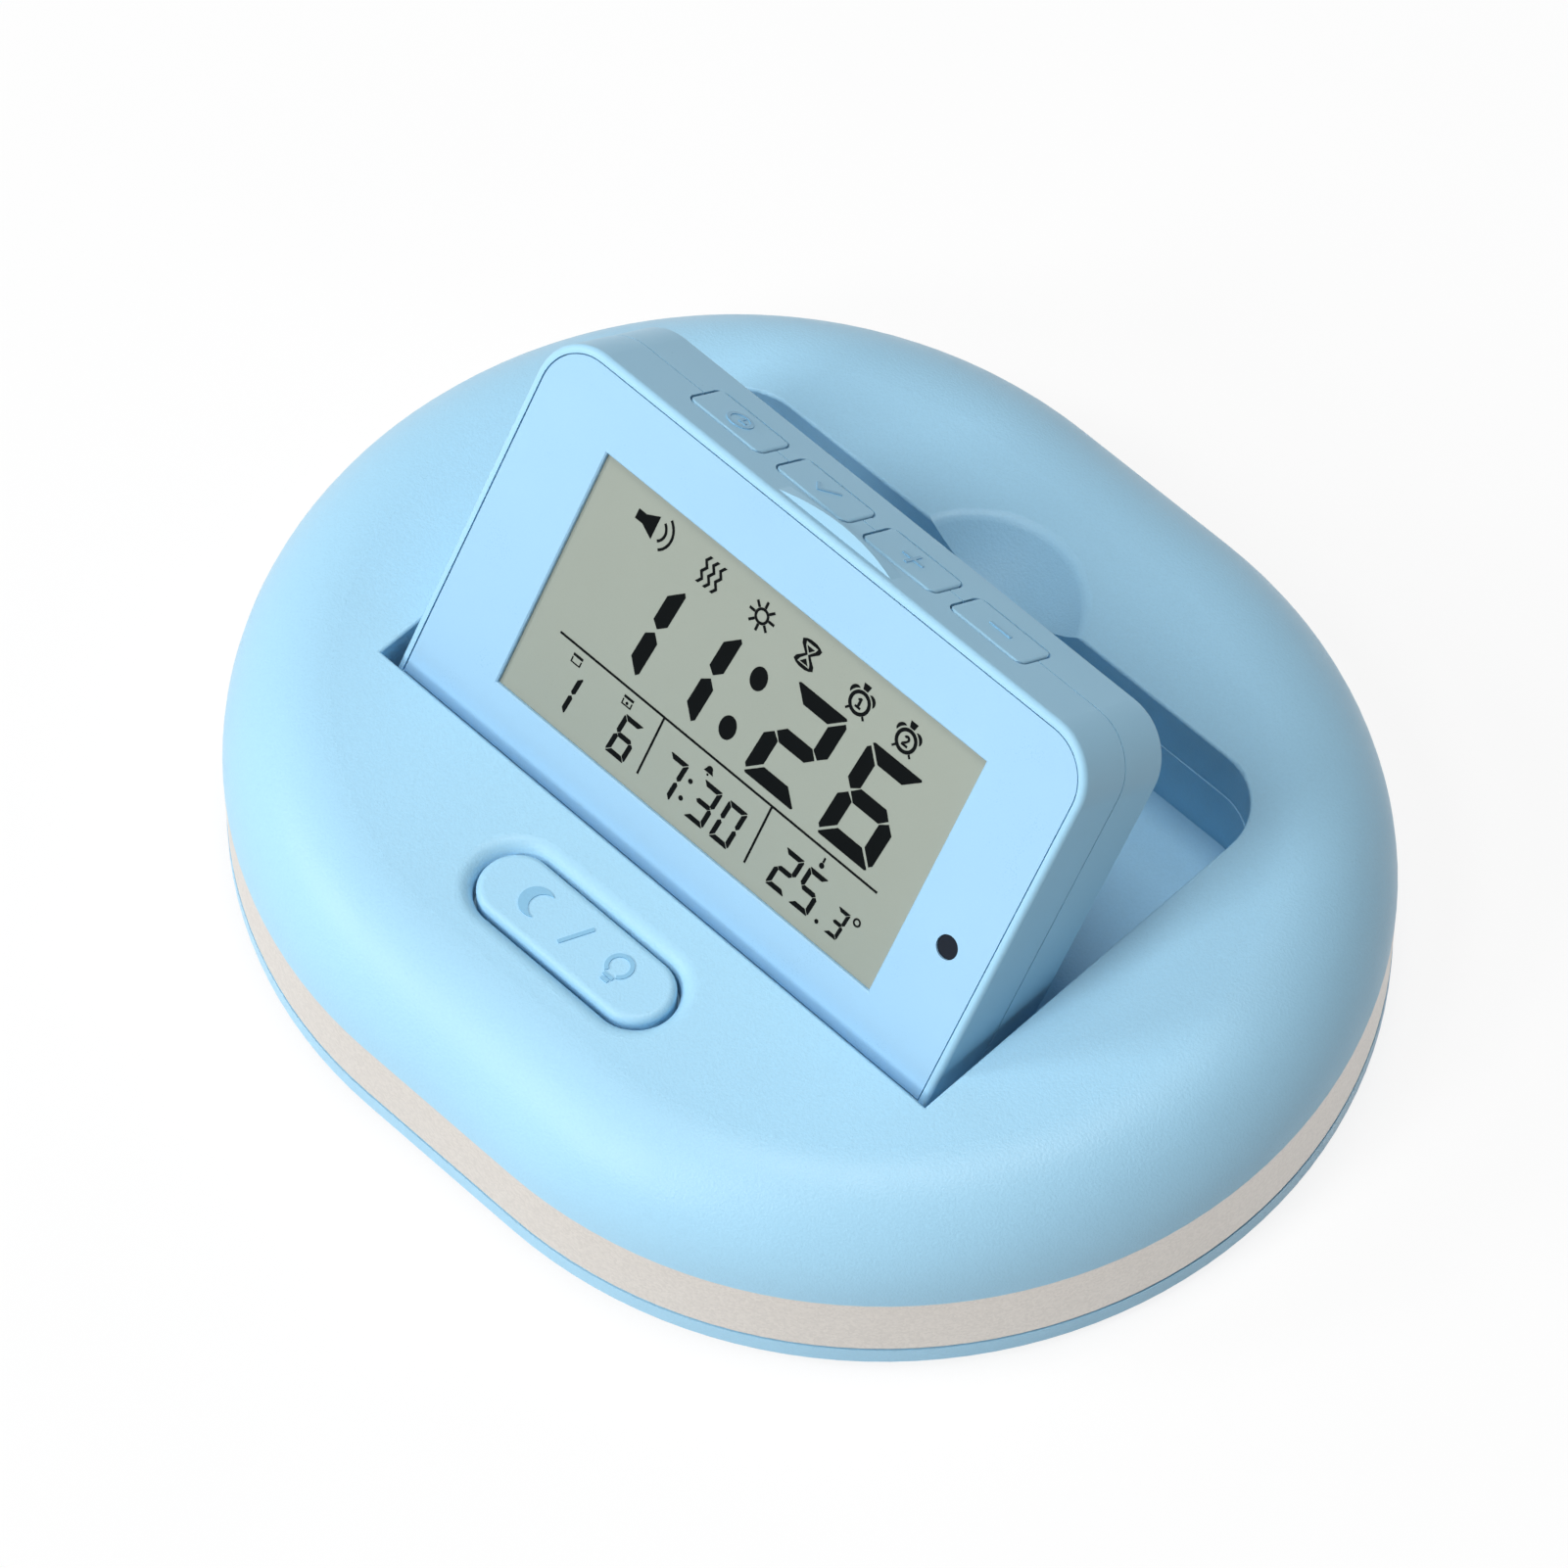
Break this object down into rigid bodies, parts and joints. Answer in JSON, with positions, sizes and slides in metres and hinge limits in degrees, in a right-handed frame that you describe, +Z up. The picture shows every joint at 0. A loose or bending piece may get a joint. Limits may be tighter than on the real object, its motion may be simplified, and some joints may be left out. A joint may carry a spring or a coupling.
{
  "type": "vibrating alarm clock",
  "caption": "Low round-ended bedside alarm clock whose display folds up out of a well in its base, with a snooze button, keys, speaker and vibration motor.",
  "frame": {"origin": "on the table, under the middle of the base", "axes": "+X to the right along the base's length, +Y to the back, +Z up"},
  "size_m": [0.12, 0.1, 0.0528],
  "materials": {
    "blue_plastic": "light blue moulded plastic with a fine spark texture",
    "face_plastic": "smooth light blue plastic",
    "silver_trim": "champagne silver metallic paint, satin",
    "rubber": "soft matte",
    "steel": "bright plated",
    "board": "green solder mask",
    "cell_jacket": "satin jacket",
    "weight_brass": "turned",
    "dark_plastic": "glossy",
    "lcd_glass": "grey-green reflective liquid crystal",
    "white_plastic": "satin white",
    "soft_strip": "soft matte"
  },
  "bodies": {
    "base": {"top_cover": "blue_plastic", "trim_band": "silver_trim", "bottom_cover": "blue_plastic", "rubber_feet": "rubber", "base_screws": "steel", "main_board": "board", "board_screws": "steel", "speaker": "steel", "battery_cells": "cell_jacket", "battery_contacts": "steel", "motor_can": "steel", "motor_sleeve": "rubber", "snooze_board": "board", "snooze_switch": "dark_plastic", "snooze_screws": "steel"},
    "display": {"display_front": "blue_plastic", "display_rear": "blue_plastic", "front_plate": "face_plastic", "sensor_lens": "dark_plastic", "lcd_panel": "lcd_glass", "lcd_frame": "white_plastic", "backlight": "white_plastic", "contact_strip": "soft_strip", "display_board": "board", "key_switches": "dark_plastic", "display_screws": "steel", "hinge_pins": "steel"},
    "snooze": {"snooze_button": "blue_plastic"},
    "rotor": {"motor_shaft": "steel", "eccentric_weight": "weight_brass"},
    "door": {"battery_door": "blue_plastic"},
    "mode_key": {"key_mode": "blue_plastic"},
    "set_key": {"key_set": "blue_plastic"},
    "plus_key": {"key_plus": "blue_plastic"},
    "minus_key": {"key_minus": "blue_plastic"}
  },
  "joints": [
    {"name": "display_fold", "type": "hinge", "parent": "base", "child": "display", "pos_m": [0, -0.01555, 0.0149], "axis": [1, 0, 0], "range_deg": [-55.5, 0]},
    {"name": "snooze_press", "type": "slide", "parent": "base", "child": "snooze", "axis": [0, 0, -1], "range_m": [0, 0.0008], "stiffness_N_per_m": 1500},
    {"name": "rotor_spin", "type": "hinge", "parent": "base", "child": "rotor", "pos_m": [0, 0.038, 0.0104], "axis": [1, 0, 0], "continuous": true},
    {"name": "door_open", "type": "hinge", "parent": "base", "child": "door", "pos_m": [0, -0.0247, 0.0018], "axis": [1, 0, 0], "range_deg": [0, 90]},
    {"name": "mode_press", "type": "slide", "parent": "display", "child": "mode_key", "axis": [0, -0.5664, -0.8241], "range_m": [0, 0.0005], "stiffness_N_per_m": 1500},
    {"name": "set_press", "type": "slide", "parent": "display", "child": "set_key", "axis": [0, -0.5664, -0.8241], "range_m": [0, 0.0005], "stiffness_N_per_m": 1500},
    {"name": "plus_press", "type": "slide", "parent": "display", "child": "plus_key", "axis": [0, -0.5664, -0.8241], "range_m": [0, 0.0005], "stiffness_N_per_m": 1500},
    {"name": "minus_press", "type": "slide", "parent": "display", "child": "minus_key", "axis": [0, -0.5664, -0.8241], "range_m": [0, 0.0005], "stiffness_N_per_m": 1500}
  ]
}
